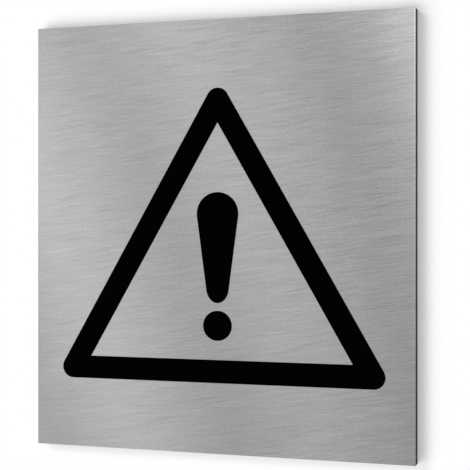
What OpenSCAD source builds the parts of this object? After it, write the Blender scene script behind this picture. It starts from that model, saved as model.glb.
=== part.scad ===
// Hazard warning sign: a small wall plaque cut from aluminium composite sheet.
// Two thin aluminium skins are bonded to a black core, which shows at the cut edge.
// The general warning symbol lies on the brushed front skin, cut from black film.
// The origin is the middle of the back face, where the plaque is stuck to a wall.
// +Y points into the wall, +Z is up, and the front face looks along -Y.

/* [Panel] */
// Width of the panel
panel_w = 100; // [92:1:300]
// Height of the panel
panel_h = 110; // [84:1:300]
// Radius of the panel's four corners, as the cutter leaves them
corner_r = 0.1; // [0.1:0.1:8]
// Thickness of the brushed front skin
front_skin_t = 0.3; // [0.2:0.05:0.5]
// Thickness of the black core
core_t = 2.4; // [1.4:0.1:5.4]
// Thickness of the plain back skin
back_skin_t = 0.3; // [0.2:0.05:0.5]

/* [Warning triangle] */
// Side of the triangle, measured along the middle of its border
triangle_side = 79.5; // [75:0.1:84]
// Width of the triangle's border
border_w = 5.85; // [3:0.05:7]
// How far the triangle's mid-height lies above the panel's
triangle_rise = 0.25; // [-1:0.05:1]
// Thickness of the black film, with its adhesive
film_t = 0.1; // [0.05:0.05:0.3]

/* [Exclamation mark] */
// Gap between the border and the dot above it
dot_base_gap = 4.85; // [2:0.05:7]
// Radius of the dot
dot_r = 3.8; // [2.5:0.05:4.5]
// Gap between the dot and the stroke above it
dot_stroke_gap = 1.95; // [1:0.05:4]
// Length of the stroke from end to end
stroke_l = 28.05; // [20:0.05:32]
// Radius of the stroke's round head
head_r = 5.5; // [4.5:0.05:6.5]
// Distance of the straight flanks from the tail tip's centre
flank_end_r = 2.8; // [2.75:0.05:3.3]
// Radius of the shoulders that turn from the flanks to the tip
shoulder_r = 4.2; // [3.4:0.1:6]
// Radius of the tail's round tip
tip_r = 2.4; // [1.6:0.1:2.7]

/* [Hidden] */
$fn = 96;

brushed_aluminium = [0.66, 0.66, 0.67];
plain_aluminium = [0.72, 0.73, 0.74];
black_polyethylene = [0.06, 0.06, 0.06];
black_film = [0.015, 0.015, 0.015];

// Each layer's back, measured forwards from the wall
core_back = back_skin_t;
front_skin_back = core_back + core_t;
film_back = front_skin_back + front_skin_t;

// The border is a line of even width, drawn along an equilateral triangle
line_r = border_w / 2;
triangle_reach = triangle_side / sqrt(3);
triangle_h = triangle_side * sqrt(3) / 2;
base_z = triangle_rise - triangle_h / 2;
triangle_centre_z = base_z + triangle_h / 3;

// The mark stands on the border's base, with the dot first and the stroke above it
dot_z = base_z + line_r + dot_base_gap + dot_r;
tip_z = dot_z + dot_r + dot_stroke_gap + tip_r;
head_z = tip_z - tip_r + stroke_l - head_r;

// How far the flanks lean in, and how far a shoulder turns before it meets the tip
flank_lean = asin((head_r - flank_end_r) / (head_z - tip_z));
shoulder_turn = acos((shoulder_r - flank_end_r) / (shoulder_r - tip_r));
tip_angle = -flank_lean - shoulder_turn;

// The point at an angle on a circle
function on_circle(centre, radius, angle) = centre + radius * [cos(angle), sin(angle)];

// The same point on the other side of the upright middle line
function mirrored(point) = [-point[0], point[1]];

// The corners of the border's triangle, with its sides moved outwards by a distance
function triangle_corners(outwards) = [
    for (angle = [90, 210, 330])
        on_circle([0, 0], triangle_reach + 2 * outwards, angle)
];

// A flat outline, drawn with X across and Y up, stood up as a layer that faces -Y
module layer(back, thickness)
    translate([0, -back, 0])
        rotate([90, 0, 0])
            linear_extrude(height = thickness)
                children();

// The panel's outline, cut square with just the cutter's radius left at the corners
module panel_outline() {
    square([panel_w, panel_h - 2 * corner_r], center = true);
    square([panel_w - 2 * corner_r, panel_h], center = true);
    for (side = [-1, 1], end = [-1, 1])
        translate([side * (panel_w / 2 - corner_r), end * (panel_h / 2 - corner_r)])
            circle(r = corner_r);
}

// The border's outline, with round corners outside and sharp corners inside
module border_outline() {
    corners = triangle_corners(0);
    translate([0, triangle_centre_z])
        difference() {
            union() {
                // each side's outer edge runs from corner to corner
                polygon([
                    for (k = [0:2], end = [0, 1])
                        on_circle(corners[(k + end) % 3], line_r, 150 + 120 * k)
                ]);
                for (corner = corners)
                    translate(corner) circle(r = line_r);
            }
            polygon(triangle_corners(-line_r));
        }
}

// The stroke's outline: a round head, straight flanks that lean in, and a tail whose two
// shoulders close on a round tip. Each arc runs into its neighbours without a corner.
module stroke_outline() {
    shoulder_centre = on_circle([0, tip_z], tip_r - shoulder_r, tip_angle);
    head_side = on_circle([0, head_z], head_r, -flank_lean);
    flank_end = on_circle(shoulder_centre, shoulder_r, -flank_lean);
    shoulder_end = on_circle([0, tip_z], tip_r, tip_angle);
    translate([0, head_z]) circle(r = head_r);
    polygon([head_side, mirrored(head_side), mirrored(flank_end), flank_end]);
    intersection() {
        translate(shoulder_centre) circle(r = shoulder_r);
        translate(mirrored(shoulder_centre)) circle(r = shoulder_r);
        translate([-head_r, shoulder_end[1]])
            square([2 * head_r, flank_end[1] - shoulder_end[1]]);
    }
    translate([0, tip_z]) circle(r = tip_r);
}

module front_skin()
    color(brushed_aluminium)
        layer(front_skin_back, front_skin_t) panel_outline();

module core()
    color(black_polyethylene)
        layer(core_back, core_t) panel_outline();

module back_skin()
    color(plain_aluminium)
        layer(0, back_skin_t) panel_outline();

module triangle_border()
    color(black_film)
        layer(film_back, film_t) border_outline();

module exclamation_stroke()
    color(black_film)
        layer(film_back, film_t) stroke_outline();

module exclamation_dot()
    color(black_film)
        layer(film_back, film_t) translate([0, dot_z]) circle(r = dot_r);

front_skin();
core();
back_skin();
triangle_border();
exclamation_stroke();
exclamation_dot();
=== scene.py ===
# Hazard warning plaque: brushed aluminium composite panel with a black film symbol,
# fixed flat on a white wall and seen from its right.
from math import acos, asin, pi, radians, sqrt, tan
import bpy
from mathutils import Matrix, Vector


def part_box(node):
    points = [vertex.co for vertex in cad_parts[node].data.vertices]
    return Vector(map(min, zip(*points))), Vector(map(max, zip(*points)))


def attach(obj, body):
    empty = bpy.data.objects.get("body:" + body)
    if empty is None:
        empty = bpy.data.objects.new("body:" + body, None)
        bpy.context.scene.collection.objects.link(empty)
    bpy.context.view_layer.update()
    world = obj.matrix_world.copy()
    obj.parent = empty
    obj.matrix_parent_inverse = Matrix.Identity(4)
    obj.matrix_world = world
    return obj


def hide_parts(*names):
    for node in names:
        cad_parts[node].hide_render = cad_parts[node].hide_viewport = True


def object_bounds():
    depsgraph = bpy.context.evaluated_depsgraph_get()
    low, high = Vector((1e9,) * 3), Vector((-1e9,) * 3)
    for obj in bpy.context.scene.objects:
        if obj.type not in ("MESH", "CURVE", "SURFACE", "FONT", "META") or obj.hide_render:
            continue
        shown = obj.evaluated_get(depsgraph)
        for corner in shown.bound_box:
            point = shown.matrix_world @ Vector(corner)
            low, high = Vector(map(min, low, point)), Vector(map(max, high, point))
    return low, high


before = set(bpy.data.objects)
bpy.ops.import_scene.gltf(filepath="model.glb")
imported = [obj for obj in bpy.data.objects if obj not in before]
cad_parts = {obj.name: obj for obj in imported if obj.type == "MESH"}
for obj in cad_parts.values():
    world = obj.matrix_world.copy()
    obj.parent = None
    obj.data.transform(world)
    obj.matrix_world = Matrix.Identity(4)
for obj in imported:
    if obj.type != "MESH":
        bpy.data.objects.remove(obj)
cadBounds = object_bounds()

mm = 0.001
mmPerMetre = 1000.0


# Node helpers, for shaders and geometry alike

def setSocket(tree, socket, value):
    if isinstance(value, bpy.types.NodeSocket):
        tree.links.new(value, socket)
    else:
        socket.default_value = value


def addNode(tree, kind, sockets=None, **settings):
    node = tree.nodes.new(kind)
    for name, value in settings.items():
        setattr(node, name, value)
    for key, value in (sockets or {}).items():
        setSocket(tree, node.inputs[key], value)
    return node


def doMath(tree, operation, *values, clamp=False):
    node = addNode(tree, "ShaderNodeMath", operation=operation, use_clamp=clamp)
    for socket, value in zip(node.inputs, values):
        setSocket(tree, socket, value)
    return node.outputs[0]


def remap(tree, value, low, high, toLow, toHigh, smooth=False):
    kind = "SMOOTHSTEP" if smooth else "LINEAR"
    sockets = {"Value": value, "From Min": low, "From Max": high, "To Min": toLow, "To Max": toHigh}
    return addNode(tree, "ShaderNodeMapRange", sockets, interpolation_type=kind).outputs["Result"]


def vectorFrom(tree, x=0.0, y=0.0, z=0.0):
    return addNode(tree, "ShaderNodeCombineXYZ", {"X": x, "Y": y, "Z": z}).outputs[0]


def noiseAt(tree, vector, detail=2.0, scale=1.0):
    sockets = {"Vector": vector, "Scale": scale, "Detail": detail}
    return addNode(tree, "ShaderNodeTexNoise", sockets, noise_dimensions="3D").outputs[0]


def varied(tree, noise, share, middle=0.0):
    # noise lies about a half, so the result strays from its middle by half the share either way
    return doMath(tree, "MULTIPLY_ADD", noise, share, middle - share / 2)


# Material helpers

def newMaterial(name):
    material = bpy.data.materials.new(name)
    material.use_nodes = True
    material.node_tree.nodes.clear()
    return material, material.node_tree


def placeInMm(tree):
    coordinates = addNode(tree, "ShaderNodeTexCoord").outputs["Object"]
    scaled = addNode(tree, "ShaderNodeVectorMath", {0: coordinates, "Scale": mmPerMetre}, operation="SCALE")
    return scaled.outputs[0]


def splitPlace(tree, place, axes):
    split = addNode(tree, "ShaderNodeSeparateXYZ", {0: place}).outputs
    return [split[axis] for axis in axes]


def addShader(tree, sockets, relief, finish):
    bump = addNode(tree, "ShaderNodeBump", {
        "Height": relief,
        "Strength": finish["bumpStrength"],
        "Distance": finish["bumpDepth"],
    })
    shader = addNode(tree, "ShaderNodeBsdfPrincipled", {**sockets, "Normal": bump.outputs[0]})
    addNode(tree, "ShaderNodeOutputMaterial", {"Surface": shader.outputs[0]})


# Painted shade on the cut edge of the two skins, which darkens it below their faces

cutEdge = {
    "lightness": 0.22,    # as a share of the face's
    "side": 0.18,         # how far it shades the face at the left and right, in mm
    "end": 0.06,          # and at the top and the foot, in mm
}


def halfPanelInMm():
    low, high = cadBounds
    return [(high[axis] - low[axis]) / 2 * mmPerMetre for axis in (0, 2)]


def paintedCutEdgeShade(tree, x, z):
    # painted shade: darkens the skins' cut edge and a thin band of the face beside it
    halfWidth, halfHeight = halfPanelInMm()
    fromSide = doMath(tree, "SUBTRACT", halfWidth, doMath(tree, "ABSOLUTE", x))
    fromEnd = doMath(tree, "SUBTRACT", halfHeight, doMath(tree, "ABSOLUTE", z))
    nearest = doMath(tree, "MINIMUM", doMath(tree, "DIVIDE", fromSide, cutEdge["side"]),
                     doMath(tree, "DIVIDE", fromEnd, cutEdge["end"]))
    return remap(tree, nearest, 0.0, 1.0, cutEdge["lightness"], 1.0)


# Brushed aluminium, for the front skin

brushed = {
    "slopeAtMiddle": tan(radians(7.7)),   # the belt's lines rise to the right
    "slopeChange": -0.0009,               # and rise more steeply towards the foot, per mm
    "wander": 0.3,                        # how far a line strays from straight, in mm
    "wanderSize": 20.0,                   # over this length, in mm
    "lines": {    # length and width in mm, turn from the belt's direction, share in the lightness
        "grain": (0.8, 0.36, 0.0, 0.18),
        "hair": (8.0, 0.42, -5.5, 0.15),
        "fine": (12.0, 0.52, 4.5, 0.13),
        "medium": (16.0, 0.90, -2.0, 0.105),
        "coarse": (28.0, 2.20, 1.0, 0.07),
    },
    "scores": {    # the same for the few deeper lines, which start at a noise level
        "dark": (9.0, 0.44, 3.0, -0.11),
        "bright": (10.0, 0.36, -3.5, 0.12),
    },
    "scoreFrom": 0.57,
    "scoreFull": 0.85,
    "kindStep": 7,                        # how far apart in the noise each kind of line is taken
    "biteSize": 22.0,                     # the belt bit unevenly, in patches of this size in mm,
    "biteLeast": 0.62,                    # from this share of the lines' contrast upwards,
    "biteMore": 0.8,                      # by up to this much,
    "biteRise": 0.0032,                   # and deeper towards the right, per mm
    "bandLean": 0.35,                     # painted reflection: broad bands lean from upper left to lower right,
    "bandBend": 0.0005,                   # bend a little, per mm,
    "bandSpread": -0.0025,                # and stand further apart towards the top, per mm
    "bandReach": 75,                      # how far the bands run either side of the middle, in mm
    "bands": [                            # place across the bands in mm, then lightness
        (-66, 0.44), (-46, 0.51), (-28, 0.45), (-12, 0.38), (10, 0.42),
        (32, 0.36), (44, 0.33), (56, 0.42), (70, 0.60),
    ],
    "paintedLightRise": 0.002,                    # painted light: lighter towards the top, per mm
    "rimWidth": 0.6,                      # painted highlight: the rim at the right catches the light, in mm,
    "rimCrest": 0.25,                     # most of all this far in,
    "rimGain": 0.26,                      # and most at the top, falling evenly to none at the foot
    "roughness": 0.36,
    "roughnessShare": 0.16,
    "anisotropy": 0.6,
    "grainRelief": 0.5,                   # height of the grain beside the hair lines'
    "bumpStrength": 0.25,
    "bumpDepth": 0.02 * mm,
}


def brushLines(tree, place, x, z):
    # across is counted from line to line, and x along them
    drift = noiseAt(tree, place, scale=1 / brushed["wanderSize"], detail=0.0)
    stray = varied(tree, drift, 2 * brushed["wander"])
    lifted = doMath(tree, "SUBTRACT", z, doMath(tree, "MULTIPLY", x, brushed["slopeAtMiddle"]))
    fan = doMath(tree, "MULTIPLY_ADD", x, brushed["slopeChange"], 1.0)
    across = doMath(tree, "ADD", doMath(tree, "DIVIDE", lifted, fan), stray)
    lines = {}
    contrast = 0.0
    kinds = {**brushed["lines"], **brushed["scores"]}
    for count, (name, (length, width, turn, share)) in enumerate(kinds.items()):
        turned = doMath(tree, "MULTIPLY_ADD", x, -tan(radians(turn)), across)
        cell = vectorFrom(tree, doMath(tree, "DIVIDE", x, length), doMath(tree, "DIVIDE", turned, width),
                          brushed["kindStep"] * count)
        lines[name] = noiseAt(tree, cell, detail=0.0)
        if name in brushed["scores"]:
            part = remap(tree, lines[name], brushed["scoreFrom"], brushed["scoreFull"], 0.0, share)
        else:
            part = varied(tree, lines[name], share)
        contrast = doMath(tree, "ADD", contrast, part)
    least = doMath(tree, "MULTIPLY_ADD", x, brushed["biteRise"], brushed["biteLeast"])
    patches = noiseAt(tree, place, scale=1 / brushed["biteSize"], detail=1.0)
    bite = doMath(tree, "MULTIPLY_ADD", patches, brushed["biteMore"], least)
    return lines, doMath(tree, "MULTIPLY_ADD", contrast, bite, 1.0)


def paintedReflectionBands(tree, x, z):
    # painted reflection: broad lighter and darker bands, set into the base colour
    spread = doMath(tree, "MULTIPLY_ADD", z, brushed["bandSpread"], 1.0)
    lean = doMath(tree, "MULTIPLY_ADD", z, brushed["bandBend"], brushed["bandLean"])
    across = doMath(tree, "ADD", doMath(tree, "MULTIPLY", x, spread), doMath(tree, "MULTIPLY", z, lean))
    reach = brushed["bandReach"]
    ramp = addNode(tree, "ShaderNodeValToRGB", {0: remap(tree, across, -reach, reach, 0.0, 1.0)})
    ramp.color_ramp.interpolation = "CARDINAL"
    stops = ramp.color_ramp.elements
    while len(stops) < len(brushed["bands"]):
        stops.new(0.5)    # moved to its place below
    for stop, (where, lightness) in zip(stops, brushed["bands"]):
        stop.position = (where + reach) / (2 * reach)
        stop.color = (lightness, lightness, lightness, 1)
    return ramp.outputs["Color"]


def paintedRimHighlight(tree, x, z):
    # painted highlight along the right rim, strongest at the top
    halfWidth, halfHeight = halfPanelInMm()
    crest = halfWidth - brushed["rimCrest"]
    rising = remap(tree, x, halfWidth - brushed["rimWidth"], crest, 0.0, brushed["rimGain"], smooth=True)
    falling = remap(tree, x, crest, halfWidth, 1.0, 0.0, smooth=True)
    fromFoot = remap(tree, z, -halfHeight, halfHeight, 0.0, 1.0)
    gain = doMath(tree, "MULTIPLY", doMath(tree, "MULTIPLY", rising, falling), fromFoot)
    return doMath(tree, "ADD", gain, 1.0)


def makeBrushedAluminium():
    material, tree = newMaterial("brushed_aluminium")
    place = placeInMm(tree)
    x, z = splitPlace(tree, place, "XZ")
    lines, lightness = brushLines(tree, place, x, z)
    # painted light: the skin is made lighter towards the top
    rise = doMath(tree, "MULTIPLY_ADD", z, brushed["paintedLightRise"], 1.0)
    # painted highlight on the right rim, and painted shade on the skins' cut edge
    for gain in (rise, paintedRimHighlight(tree, x, z), paintedCutEdgeShade(tree, x, z)):
        lightness = doMath(tree, "MULTIPLY", lightness, gain)
    # the painted reflection bands give the base colour its broad lightness
    colour = addNode(tree, "ShaderNodeVectorMath", {0: paintedReflectionBands(tree, x, z), "Scale": lightness},
                     operation="SCALE").outputs[0]
    relief = doMath(tree, "MULTIPLY_ADD", lines["grain"], brushed["grainRelief"], lines["hair"])
    addShader(tree, {
        "Base Color": colour,
        "Roughness": varied(tree, lines["medium"], brushed["roughnessShare"], brushed["roughness"]),
        "Metallic": 1.0,
        "Anisotropic": brushed["anisotropy"],
        "Tangent": vectorFrom(tree, x=1.0, z=brushed["slopeAtMiddle"]),
    }, relief, brushed)
    return material


# Plain aluminium, for the back skin

plain = {
    "tone": 0.47,
    "lines": {                 # the mill's rolling lines: length and width in mm, then share in the tone
        "fine": (30.0, 0.4, 0.16),
        "broad": (110.0, 4.0, 0.12),
    },
    "cloudSize": 20.0,         # mm
    "cloudShare": 0.08,
    "roughness": 0.42,
    "roughnessShare": 0.2,
    "anisotropy": 0.5,
    "bumpStrength": 0.15,
    "bumpDepth": 0.02 * mm,
}


def makePlainAluminium():
    material, tree = newMaterial("plain_aluminium")
    place = placeInMm(tree)
    x, z = splitPlace(tree, place, "XZ")
    cloud = noiseAt(tree, place, scale=1 / plain["cloudSize"])
    tone = varied(tree, cloud, plain["cloudShare"], plain["tone"])
    lines = {}
    for name, (length, width, share) in plain["lines"].items():
        cell = vectorFrom(tree, x=doMath(tree, "DIVIDE", x, width), z=doMath(tree, "DIVIDE", z, length))
        lines[name] = noiseAt(tree, cell)
        tone = doMath(tree, "ADD", tone, varied(tree, lines[name], share))
    # painted shade on the back skin's cut edge
    tone = doMath(tree, "MULTIPLY", tone, paintedCutEdgeShade(tree, x, z))
    addShader(tree, {
        "Base Color": vectorFrom(tree, tone, tone, tone),
        "Roughness": varied(tree, lines["fine"], plain["roughnessShare"], plain["roughness"]),
        "Metallic": 1.0,
        "Anisotropic": plain["anisotropy"],
        "Tangent": vectorFrom(tree, z=1.0),
    }, lines["fine"], plain)
    return material


# Black polyethylene, for the core's cut edge: the cutter's fine lines run along it, over specks

coreFinish = {
    "tone": 0.013,
    "speckSize": 0.4,          # mm
    "speckShare": 0.008,
    "cutLine": (6.0, 0.12),    # length and width in mm
    "cutLineShare": 0.014,
    "roughness": 0.9,
    "roughnessShare": 0.2,
    "gloss": 0.04,
    "bumpStrength": 0.4,
    "bumpDepth": 0.03 * mm,
}


def makeCorePlastic():
    material, tree = newMaterial("black_polyethylene")
    place = placeInMm(tree)
    x, y, z = splitPlace(tree, place, "XYZ")
    specks = noiseAt(tree, place, scale=1 / coreFinish["speckSize"], detail=3.0)
    length, width = coreFinish["cutLine"]
    along = doMath(tree, "DIVIDE", doMath(tree, "ADD", x, z), length)
    cutLines = noiseAt(tree, vectorFrom(tree, along, doMath(tree, "DIVIDE", y, width)))
    tone = varied(tree, specks, coreFinish["speckShare"], coreFinish["tone"])
    tone = doMath(tree, "ADD", tone, varied(tree, cutLines, coreFinish["cutLineShare"]))
    addShader(tree, {
        "Base Color": vectorFrom(tree, tone, tone, tone),
        "Roughness": varied(tree, specks, coreFinish["roughnessShare"], coreFinish["roughness"]),
        "Specular IOR Level": coreFinish["gloss"],
    }, doMath(tree, "ADD", specks, cutLines), coreFinish)
    return material


# Black film, for the symbol

filmFinish = {
    "tone": 0.0004,
    "toneShare": 0.0004,
    "pebblesPerMm": 1.4,
    "roughness": 0.55,
    "roughnessShare": 0.1,
    "gloss": 0.005,
    "bumpStrength": 0.1,
    "bumpDepth": 0.02 * mm,
}


def makeBlackFilm():
    material, tree = newMaterial("black_film")
    pebbles = noiseAt(tree, placeInMm(tree), scale=filmFinish["pebblesPerMm"])
    tone = varied(tree, pebbles, filmFinish["toneShare"], filmFinish["tone"])
    addShader(tree, {
        "Base Color": vectorFrom(tree, tone, tone, tone),
        "Roughness": varied(tree, pebbles, filmFinish["roughnessShare"], filmFinish["roughness"]),
        "Specular IOR Level": filmFinish["gloss"],
    }, pebbles, filmFinish)
    return material


brushedAluminium = makeBrushedAluminium()
plainAluminium = makePlainAluminium()
corePlastic = makeCorePlastic()
blackFilm = makeBlackFilm()
print("materials made")


# Layers cut from sheet: an outline is drawn flat, filled, given its thickness and stood up

cutting = {
    "mergeWithin": 0.001 * mm,
    "sharpFrom": radians(60),    # edges that turn by less stay unbroken
    "edgeBreakSteps": 2,
}


def cutLayerTree(treeName, sizeNames, drawOutline):
    tree = bpy.data.node_groups.new(treeName, "GeometryNodeTree")
    for name in [*sizeNames, "Thickness", "Back"]:
        tree.interface.new_socket(name=name, in_out="INPUT", socket_type="NodeSocketFloat")
    tree.interface.new_socket(name="Material", in_out="INPUT", socket_type="NodeSocketMaterial")
    tree.interface.new_socket(name="Geometry", in_out="OUTPUT", socket_type="NodeSocketGeometry")
    size = addNode(tree, "NodeGroupInput").outputs
    outline = drawOutline(tree, size)
    sheet = addNode(tree, "GeometryNodeFillCurve", {0: outline}, mode="NGONS").outputs[0]
    raised = addNode(tree, "GeometryNodeExtrudeMesh",
                     {"Mesh": sheet, "Offset Scale": size["Thickness"], "Individual": False}).outputs["Mesh"]
    underside = addNode(tree, "GeometryNodeFlipFaces", {0: sheet}).outputs[0]
    joined = addNode(tree, "GeometryNodeJoinGeometry", {0: underside})
    tree.links.new(raised, joined.inputs[0])
    closed = addNode(tree, "GeometryNodeMergeByDistance",
                     {"Geometry": joined.outputs[0], "Distance": cutting["mergeWithin"]}).outputs[0]
    back = vectorFrom(tree, y=size["Back"])
    upright = addNode(tree, "GeometryNodeTransform",
                      {"Geometry": closed, "Translation": back, "Rotation": (pi / 2, 0, 0)}).outputs[0]
    real = addNode(tree, "GeometryNodeRealizeInstances", {0: upright}).outputs[0]
    dressed = addNode(tree, "GeometryNodeSetMaterial", {"Geometry": real, "Material": size["Material"]})
    addNode(tree, "NodeGroupOutput", {0: dressed.outputs[0]})
    return tree


def makeLayer(name, tree, sizes, material, edgeBreak):
    cutter = bpy.data.objects.new(name + "_cutter", bpy.data.meshes.new(name + "_cutter"))
    bpy.context.scene.collection.objects.link(cutter)
    cut = cutter.modifiers.new("Cut", "NODES")
    cut.node_group = tree
    sizes = {**sizes, "Material": material}
    for socket in tree.interface.items_tree:
        if socket.in_out == "INPUT":
            cut[socket.identifier] = sizes[socket.name]
    evaluated = cutter.evaluated_get(bpy.context.evaluated_depsgraph_get())
    mesh = bpy.data.meshes.new_from_object(evaluated)
    mesh.name = name
    bpy.data.objects.remove(cutter)
    piece = bpy.data.objects.new(name, mesh)
    bpy.context.scene.collection.objects.link(piece)
    bevel = piece.modifiers.new("Edge break", "BEVEL")
    bevel.width = edgeBreak
    bevel.segments = cutting["edgeBreakSteps"]
    bevel.limit_method = "ANGLE"
    bevel.angle_limit = cutting["sharpFrom"]
    return piece


def standsFor(piece, node):
    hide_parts(node)
    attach(piece, "root")


def sizesOf(node):
    low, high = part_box(node)
    width, thickness, height = (top - bottom for bottom, top in zip(low, high))
    return {"Width": width, "Height": height, "Thickness": thickness, "Back": high[1]}


# Panel: two skins and the core between them

panel = {
    "cornerRadius": 0.1 * mm,
    "cornerSteps": 5,
    "skinEdgeBreak": 0.05 * mm,
    "coreEdgeBreak": 0.02 * mm,
}


def drawPanel(tree, size):
    sheet = addNode(tree, "GeometryNodeCurvePrimitiveQuadrilateral",
                    {"Width": size["Width"], "Height": size["Height"]}).outputs[0]
    return addNode(tree, "GeometryNodeFilletCurve",
                   {"Curve": sheet, "Count": panel["cornerSteps"], "Radius": size["Corner radius"]},
                   mode="POLY").outputs[0]


panelTree = cutLayerTree("Panel layer", ["Width", "Height", "Corner radius"], drawPanel)
for node, material, slot, edgeBreak in (
    ("front_skin", brushedAluminium, "brushed_skin", panel["skinEdgeBreak"]),
    ("core", corePlastic, "core_plastic", panel["coreEdgeBreak"]),
    ("back_skin", plainAluminium, "plain_skin", panel["skinEdgeBreak"]),
):
    layer = makeLayer("cut_" + node, panelTree, {**sizesOf(node), "Corner radius": panel["cornerRadius"]},
                      material, edgeBreak)
    standsFor(layer, node)
print("panel cut")


# Warning triangle: a line of even width, round outside and sharp inside

border = {
    "side": 79.5 * mm,        # along the middle of the line
    "lineWidth": 5.85 * mm,
    "cornerSteps": 24,
}
film = {"edgeBreak": 0.02 * mm}


def drawBorder(tree, size):
    lineRadius = doMath(tree, "MULTIPLY", size["Line width"], 0.5)
    reach = doMath(tree, "DIVIDE", size["Side"], sqrt(3))
    outlines = addNode(tree, "GeometryNodeJoinGeometry")
    for outwards in (1, -1):
        corner = doMath(tree, "MULTIPLY_ADD", size["Line width"], outwards, reach)
        triangle = addNode(tree, "GeometryNodeCurvePrimitiveCircle", {"Resolution": 3, "Radius": corner},
                           mode="RADIUS").outputs[0]
        if outwards > 0:
            triangle = addNode(tree, "GeometryNodeFilletCurve",
                               {"Curve": triangle, "Count": border["cornerSteps"], "Radius": lineRadius},
                               mode="POLY").outputs[0]
        tree.links.new(triangle, outlines.inputs[0])
    # the base's middle line is an inner radius, half the reach, below the triangle's centre
    centre = doMath(tree, "MULTIPLY_ADD", reach, 0.5, size["Base height"])
    return addNode(tree, "GeometryNodeTransform",
                   {"Geometry": outlines.outputs[0], "Translation": vectorFrom(tree, y=centre),
                    "Rotation": (0, 0, pi / 2)}).outputs[0]


borderSizes = sizesOf("triangle_border")
borderSizes.update({
    "Side": border["side"],
    "Line width": border["lineWidth"],
    "Base height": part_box("triangle_border")[0][2] + border["lineWidth"] / 2,
})
borderTree = cutLayerTree("Triangle border", ["Side", "Line width", "Base height"], drawBorder)
borderPiece = makeLayer("film_border", borderTree, borderSizes, blackFilm, film["edgeBreak"])
standsFor(borderPiece, "triangle_border")
print("triangle border cut")


# Exclamation mark: the stroke's arcs run into each other, and the dot stands below

stroke = {
    "headRadius": 5.5 * mm,
    "tipRadius": 2.4 * mm,
    "shoulderRadius": 4.2 * mm,
    "flankEnd": 2.8 * mm,     # distance of the flanks from the tip's centre
    "arcSteps": 40,
}


def drawStroke(tree, size):
    lean = size["Flank lean"]
    turn = size["Shoulder turn"]
    tipAngle = doMath(tree, "MULTIPLY", doMath(tree, "ADD", lean, turn), -1.0)
    # each shoulder's arc has its centre across the middle line
    shoulderArm = doMath(tree, "SUBTRACT", size["Shoulder radius"], size["Tip radius"])
    leftX = doMath(tree, "MULTIPLY", shoulderArm, doMath(tree, "COSINE", tipAngle))
    rightX = doMath(tree, "MULTIPLY", leftX, -1.0)
    shoulderDrop = doMath(tree, "MULTIPLY", shoulderArm, doMath(tree, "SINE", tipAngle))
    shoulderY = doMath(tree, "SUBTRACT", size["Tip height"], shoulderDrop)
    headStart = doMath(tree, "MULTIPLY", lean, -1.0)
    headSweep = doMath(tree, "MULTIPLY_ADD", lean, 2.0, pi)
    leftStart = doMath(tree, "ADD", pi, lean)
    tipStart = doMath(tree, "SUBTRACT", pi, tipAngle)
    tipSweep = doMath(tree, "MULTIPLY_ADD", tipAngle, 2.0, pi)
    arcs = addNode(tree, "GeometryNodeJoinGeometry")
    for radius, start, sweep, centreX, centreY in (
        (size["Head radius"], headStart, headSweep, 0.0, size["Head height"]),
        (size["Shoulder radius"], leftStart, turn, leftX, shoulderY),
        (size["Tip radius"], tipStart, tipSweep, 0.0, size["Tip height"]),
        (size["Shoulder radius"], tipAngle, turn, rightX, shoulderY),
    ):
        arc = addNode(tree, "GeometryNodeCurveArc",
                      {"Resolution": stroke["arcSteps"], "Radius": radius, "Start Angle": start,
                       "Sweep Angle": sweep}, mode="RADIUS").outputs[0]
        placed = addNode(tree, "GeometryNodeTransform",
                         {"Geometry": arc, "Translation": vectorFrom(tree, centreX, centreY)})
        tree.links.new(placed.outputs[0], arcs.inputs[0])
    # one closed line through all the arcs' points, in order of their bearing from the middle
    points = addNode(tree, "GeometryNodeCurveToPoints", {"Curve": arcs.outputs[0]}, mode="EVALUATED")
    single = addNode(tree, "GeometryNodeMergeByDistance",
                     {"Geometry": points.outputs["Points"], "Distance": cutting["mergeWithin"]}).outputs[0]
    middle = doMath(tree, "MULTIPLY", doMath(tree, "ADD", size["Head height"], size["Tip height"]), 0.5)
    x, y = splitPlace(tree, addNode(tree, "GeometryNodeInputPosition").outputs[0], "XY")
    bearing = doMath(tree, "ARCTAN2", doMath(tree, "SUBTRACT", y, middle), x)
    line = addNode(tree, "GeometryNodePointsToCurves", {"Points": single, "Weight": bearing}).outputs[0]
    return addNode(tree, "GeometryNodeSetSplineCyclic", {0: line, "Cyclic": True}).outputs[0]


strokeLow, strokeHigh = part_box("exclamation_stroke")
tipHeight = strokeLow[2] + stroke["tipRadius"]
headHeight = strokeHigh[2] - stroke["headRadius"]
shoulderArm = stroke["shoulderRadius"] - stroke["tipRadius"]
strokeSizes = sizesOf("exclamation_stroke")
strokeSizes.update({
    "Head radius": stroke["headRadius"],
    "Head height": headHeight,
    "Tip radius": stroke["tipRadius"],
    "Tip height": tipHeight,
    "Shoulder radius": stroke["shoulderRadius"],
    "Shoulder turn": acos((stroke["shoulderRadius"] - stroke["flankEnd"]) / shoulderArm),
    "Flank lean": asin((stroke["headRadius"] - stroke["flankEnd"]) / (headHeight - tipHeight)),
})
strokeTree = cutLayerTree("Exclamation stroke", [
    "Head radius", "Head height", "Tip radius", "Tip height",
    "Shoulder radius", "Shoulder turn", "Flank lean",
], drawStroke)
strokePiece = makeLayer("film_stroke", strokeTree, strokeSizes, blackFilm, film["edgeBreak"])
standsFor(strokePiece, "exclamation_stroke")

dot = {"steps": 96}


def drawDot(tree, size):
    circle = addNode(tree, "GeometryNodeCurvePrimitiveCircle",
                     {"Resolution": dot["steps"], "Radius": size["Radius"]}, mode="RADIUS").outputs[0]
    return addNode(tree, "GeometryNodeTransform",
                   {"Geometry": circle, "Translation": vectorFrom(tree, y=size["Centre height"])}).outputs[0]


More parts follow.
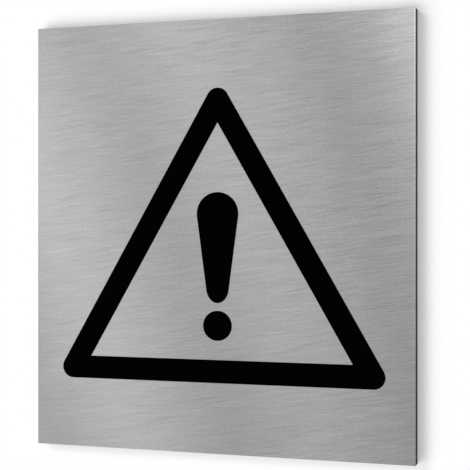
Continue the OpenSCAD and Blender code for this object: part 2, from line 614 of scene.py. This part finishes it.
dotLow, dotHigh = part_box("exclamation_dot")
dotSizes = sizesOf("exclamation_dot")
dotSizes.update({"Radius": (dotHigh[2] - dotLow[2]) / 2, "Centre height": (dotHigh[2] + dotLow[2]) / 2})
dotTree = cutLayerTree("Exclamation dot", ["Radius", "Centre height"], drawDot)
dotPiece = makeLayer("film_dot", dotTree, dotSizes, blackFilm, film["edgeBreak"])
standsFor(dotPiece, "exclamation_dot")
print("exclamation mark cut")


# Wall behind the plaque: white to the camera in front of it, and not there for anything else

wall = {
    "size": 3.0,      # metres
    "gap": 0.05 * mm,
    "paint": 0.62,
    "lift": 0.378,    # own light, so that the open wall is white and only the shadow is not
}


def makeWall():
    material, tree = newMaterial("white_wall")
    paint = addNode(tree, "ShaderNodeBsdfDiffuse", {"Color": (wall["paint"],) * 3 + (1,)}).outputs[0]
    glow = addNode(tree, "ShaderNodeEmission", {"Strength": wall["lift"]}).outputs[0]
    surface = addNode(tree, "ShaderNodeAddShader", {0: paint, 1: glow}).outputs[0]
    clear = addNode(tree, "ShaderNodeBsdfTransparent").outputs[0]
    looking = addNode(tree, "ShaderNodeLightPath").outputs["Is Camera Ray"]
    behind = addNode(tree, "ShaderNodeNewGeometry").outputs["Backfacing"]
    seen = doMath(tree, "SUBTRACT", looking, behind, clamp=True)
    mixed = addNode(tree, "ShaderNodeMixShader", {0: seen, 1: clear, 2: surface}).outputs[0]
    addNode(tree, "ShaderNodeOutputMaterial", {"Surface": mixed})
    half = wall["size"] / 2
    y = cadBounds[1][1] + wall["gap"]
    corners = [(-half, y, -half), (half, y, -half), (half, y, half), (-half, y, half)]
    mesh = bpy.data.meshes.new("wall")
    mesh.from_pydata(corners, [], [(0, 1, 2, 3)])
    mesh.materials.append(material)
    backdrop = bpy.data.objects.new("wall", mesh)
    bpy.context.scene.collection.objects.link(backdrop)


# Light: soft lamps from the left, a little ambient light, white all round for gloss and camera

light = {
    "lamps": [    # name, strength, then in degrees: spread, from the left of straight ahead, from below
        ("low_key", 1.13, 43.5, 7.5, 34.5),
        ("high_key", 1.37, 25, 44.5, -27),
        ("side_key", 1.99, 49, 46, 25.5),
        ("back", 2.6, 60, 180, 0),
    ],
    "ambient": 0.04,
}


def addSun(name, strength, spread, fromLeft, fromBelow):
    lamp = bpy.data.lights.new(name, "SUN")
    lamp.energy = strength
    lamp.angle = radians(spread)
    sun = bpy.data.objects.new(name, lamp)
    sun.rotation_euler = (pi / 2 + radians(fromBelow), 0, -radians(fromLeft))
    sun.visible_glossy = False
    bpy.context.scene.collection.objects.link(sun)


def makeSurroundings():
    world = bpy.data.worlds.new("studio")
    bpy.context.scene.world = world
    world.use_nodes = True
    tree = world.node_tree
    tree.nodes.clear()
    rays = addNode(tree, "ShaderNodeLightPath").outputs
    seen = doMath(tree, "MAXIMUM", rays["Is Camera Ray"], rays["Is Glossy Ray"])
    seen = doMath(tree, "MAXIMUM", seen, rays["Is Transmission Ray"])
    strength = remap(tree, seen, 0.0, 1.0, light["ambient"], 1.0)
    background = addNode(tree, "ShaderNodeBackground", {"Color": (1, 1, 1, 1), "Strength": strength})
    addNode(tree, "ShaderNodeOutputWorld", {"Surface": background.outputs[0]})


makeWall()
for lamp in light["lamps"]:
    addSun(*lamp)
makeSurroundings()
bpy.context.scene.view_settings.view_transform = "Standard"
print("wall and light set")


# Camera: level, turned a little to the left from a place right of the plaque

view = {
    "place": (87.65 * mm, -274.5 * mm, 1.87 * mm),
    "turn": radians(17),
    "focalPixels": 1129,
    "pictureWidth": 470,        # pixels
    "horizonAboveMiddle": 6,    # pixels
    "sensorWidth": 36,          # mm on the camera's own chip
    "nearest": 10 * mm,         # what stands closer to the lens isn't seen
}
lens = bpy.data.cameras.new("camera")
lens.sensor_width = view["sensorWidth"]
lens.lens = view["focalPixels"] / view["pictureWidth"] * view["sensorWidth"]
lens.shift_y = -view["horizonAboveMiddle"] / view["pictureWidth"]
lens.clip_start = view["nearest"]
camera = bpy.data.objects.new("camera", lens)
camera.location = view["place"]
camera.rotation_euler = (pi / 2, 0, view["turn"])
bpy.context.scene.collection.objects.link(camera)
bpy.context.scene.camera = camera
print("camera set")
